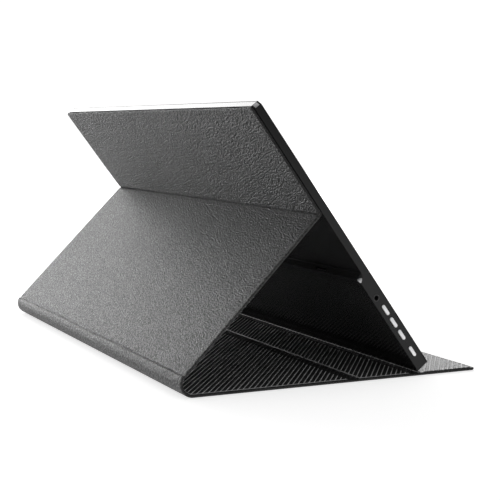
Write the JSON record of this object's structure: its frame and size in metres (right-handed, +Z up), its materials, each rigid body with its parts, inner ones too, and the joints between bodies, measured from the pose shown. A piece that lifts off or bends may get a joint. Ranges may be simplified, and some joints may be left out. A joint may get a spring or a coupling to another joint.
{
  "type": "portable monitor with cover",
  "caption": "Slim flat-panel monitor with a stepped back, held on a folding leather cover that props it up as a stand and closes over its screen.",
  "frame": {"origin": "middle of the footprint on the table, under the stand", "axes": "+X along the width, -Y towards the viewer of the screen, +Y towards the cover's spine, +Z up"},
  "size_m": [0.358, 0.23, 0.1844],
  "materials": {
    "leather": "grained synthetic leather, satin",
    "lining": "ribbed microfibre, slightly glossy ribs",
    "stiffener": "pressed board, matte",
    "housing": "black anodised, fine satin",
    "bezel": "black, fine matte",
    "screen": "dark anti-glare glass, satin",
    "film": "white optical film",
    "light_guide": "clear acrylic",
    "lamp": "lamp strip",
    "inner_frame": "black moulded frame",
    "circuit_board": "green solder mask, satin",
    "flat_cable": "amber film",
    "chip": "moulded package, matte",
    "tin": "tinned sheet, satin",
    "steel": "bright steel, satin",
    "magnet": "nickel plated, satin",
    "key": "silver metallised, satin",
    "light_pipe": "translucent, polished",
    "socket_plastic": "black moulded",
    "speaker": "black moulded box"
  },
  "bodies": {
    "base": {"base_skin": "leather", "base_rear_board": "stiffener", "base_front_board": "stiffener", "base_lining": "lining", "flap_crease": "leather", "spine_foot_crease": "leather"},
    "front_flap": {"flap_skin": "leather", "flap_board": "stiffener", "flap_lining": "lining", "flap_magnets": "magnet"},
    "spine": {"spine_skin": "leather", "spine_stiffener": "stiffener", "spine_lining": "lining", "spine_top_crease": "leather"},
    "middle_panel": {"middle_skin": "leather", "middle_board": "stiffener", "middle_lining": "lining", "fold_crease": "leather"},
    "upper_panel": {"upper_skin": "leather", "upper_board": "stiffener", "upper_lining": "lining", "upper_magnets": "magnet"},
    "display": {"rear_cover": "housing", "screen_bezel": "bezel", "lcd_cell": "screen", "diffuser_sheet": "film", "light_guide": "light_guide", "reflector_sheet": "film", "backlight_bar": "lamp", "lcd_chassis": "inner_frame", "panel_board": "circuit_board", "panel_cable": "flat_cable", "holding_plates": "steel", "main_board": "circuit_board", "board_chips": "chip", "shield_can": "tin", "board_screws": "steel", "key_board": "circuit_board", "key_switches": "inner_frame", "status_light": "light_pipe", "headphone_socket": "socket_plastic", "upper_usb_socket": "tin", "lower_usb_socket": "tin", "video_socket": "tin", "left_speaker": "speaker", "right_speaker": "speaker"},
    "upper_key": {"upper_key": "key"},
    "centre_key": {"centre_key": "key"},
    "lower_key": {"lower_key": "key"},
    "power_key": {"power_key": "key"}
  },
  "joints": [
    {"name": "flap_lift", "type": "hinge", "parent": "base", "child": "front_flap", "pos_m": [0, -0.066, 0.0009], "axis": [-1, 0, 0], "range_deg": [0, 30]},
    {"name": "cover_open", "type": "hinge", "parent": "base", "child": "spine", "pos_m": [0, 0.1117, 0.0033], "axis": [-1, 0, 0], "range_deg": [0, 90]},
    {"name": "stand_fold", "type": "hinge", "parent": "spine", "child": "middle_panel", "pos_m": [0, 0.11164, 0.01392], "axis": [-1, 0, 0], "range_deg": [0, 38]},
    {"name": "panel_fold", "type": "hinge", "parent": "middle_panel", "child": "upper_panel", "pos_m": [0, 0.01696, 0.11293], "axis": [1, 0, 0], "range_deg": [0, 76]},
    {"name": "display_release", "type": "slide", "parent": "upper_panel", "child": "display", "axis": [0, -0.788, 0.6157], "range_m": [0, 0.06]},
    {"name": "upper_key_press", "type": "slide", "parent": "display", "child": "upper_key", "axis": [1, 0, 0], "range_m": [0, 0.0006], "stiffness_N_per_m": 300},
    {"name": "centre_key_press", "type": "slide", "parent": "display", "child": "centre_key", "axis": [1, 0, 0], "range_m": [0, 0.0006], "stiffness_N_per_m": 300},
    {"name": "lower_key_press", "type": "slide", "parent": "display", "child": "lower_key", "axis": [1, 0, 0], "range_m": [0, 0.0006], "stiffness_N_per_m": 300},
    {"name": "power_key_press", "type": "slide", "parent": "display", "child": "power_key", "axis": [1, 0, 0], "range_m": [0, 0.0006], "stiffness_N_per_m": 300}
  ],
  "couplings": [
    {"joint": "panel_fold", "follows": "stand_fold", "ratio": 2}
  ]
}
